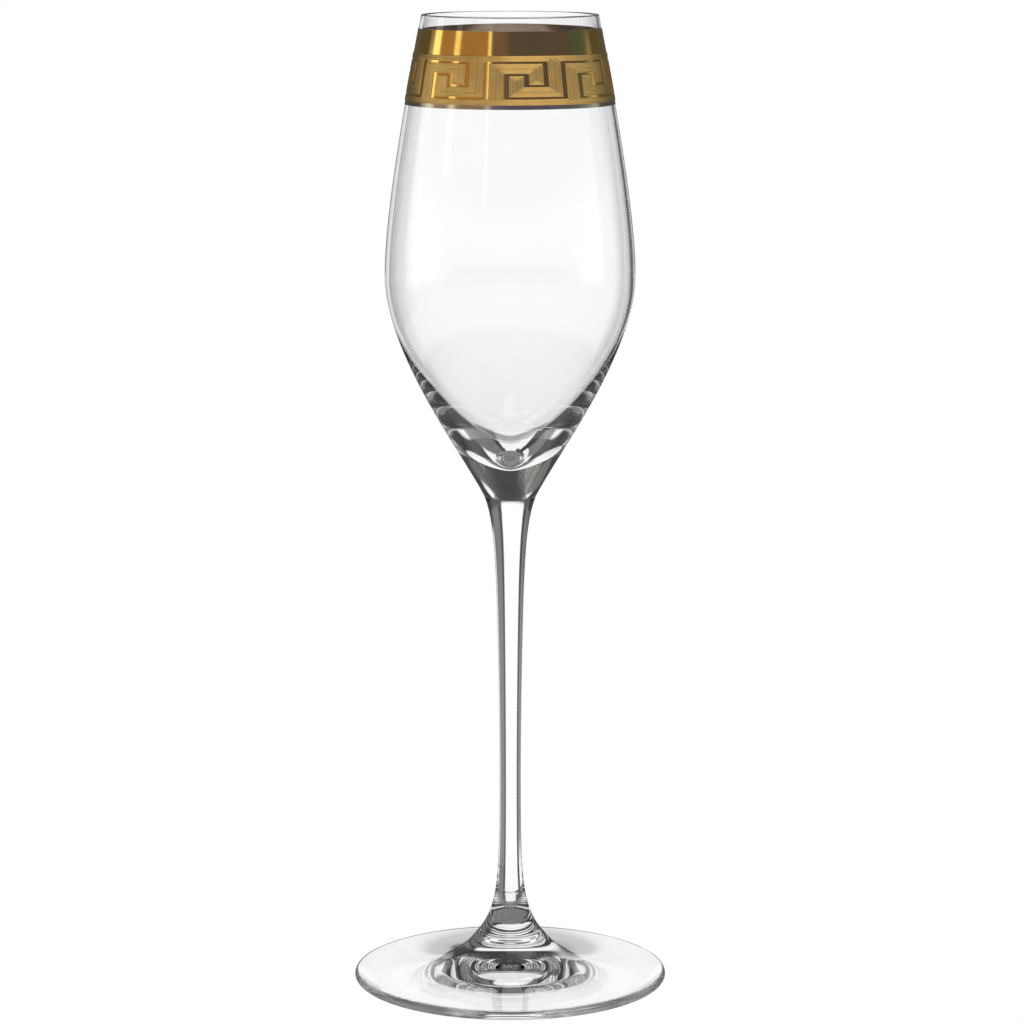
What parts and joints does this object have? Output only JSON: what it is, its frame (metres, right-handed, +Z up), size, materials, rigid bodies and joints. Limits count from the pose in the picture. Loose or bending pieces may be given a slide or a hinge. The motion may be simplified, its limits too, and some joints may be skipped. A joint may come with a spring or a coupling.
{
  "type": "champagne flute",
  "caption": "Stemmed champagne flute: a tapering crystal bowl with a gilded Greek-key border, on a thin flared stem and a wide round foot.",
  "frame": {"origin": "centre of the foot's resting ring, on the plane of the table", "axes": "+Z up along the stem to the rim; -Y faces the front, where a key's hook is centred just right of the middle"},
  "size_m": [0.0844, 0.0844, 0.26],
  "materials": {
    "crystal": "clear, fire-polished",
    "polished_gold": "burnished gold",
    "matte_gold": "satin gold with fine engraved lines"
  },
  "bodies": {
    "root": {"foot": "crystal", "stem": "crystal", "bowl": "crystal", "gold_upper_band": "polished_gold", "gold_key_ground": "polished_gold", "gold_key_upper_land": "matte_gold", "gold_key_lower_land": "matte_gold", "gold_lower_line": "polished_gold"}
  },
  "joints": []
}
